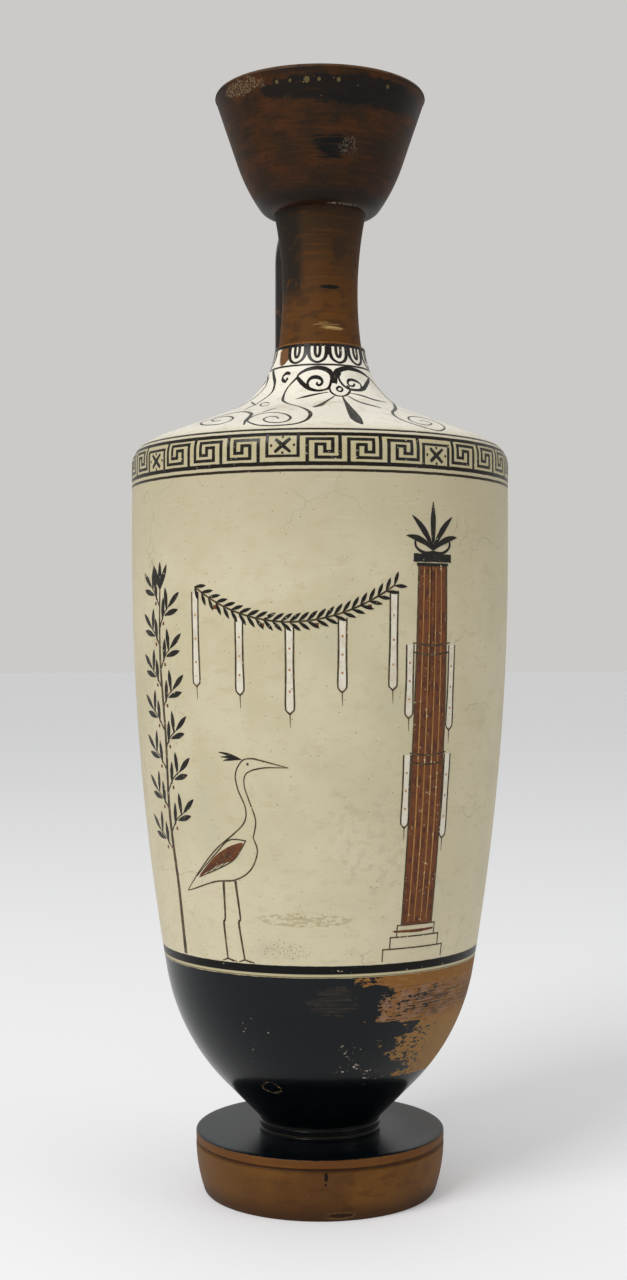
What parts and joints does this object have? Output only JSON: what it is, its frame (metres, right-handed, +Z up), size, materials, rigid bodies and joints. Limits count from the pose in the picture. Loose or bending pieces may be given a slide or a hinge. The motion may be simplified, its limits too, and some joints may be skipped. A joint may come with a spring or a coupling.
{
  "type": "shouldered oil flask, white ground lekythos",
  "caption": "Tall turned clay oil flask: disc foot, straight-shouldered body, narrow neck with flaring mouth cup and one strap handle, hollow throughout.",
  "frame": {"origin": "centre of the resting ring under the foot", "axes": "+Z up along the turning axis, -Y the front, +Y the handle"},
  "size_m": [0.1308, 0.1308, 0.38],
  "materials": {
    "painted_clay": "satin white ground with black gloss, worn"
  },
  "bodies": {
    "root": {"vessel": "painted_clay"}
  },
  "joints": []
}
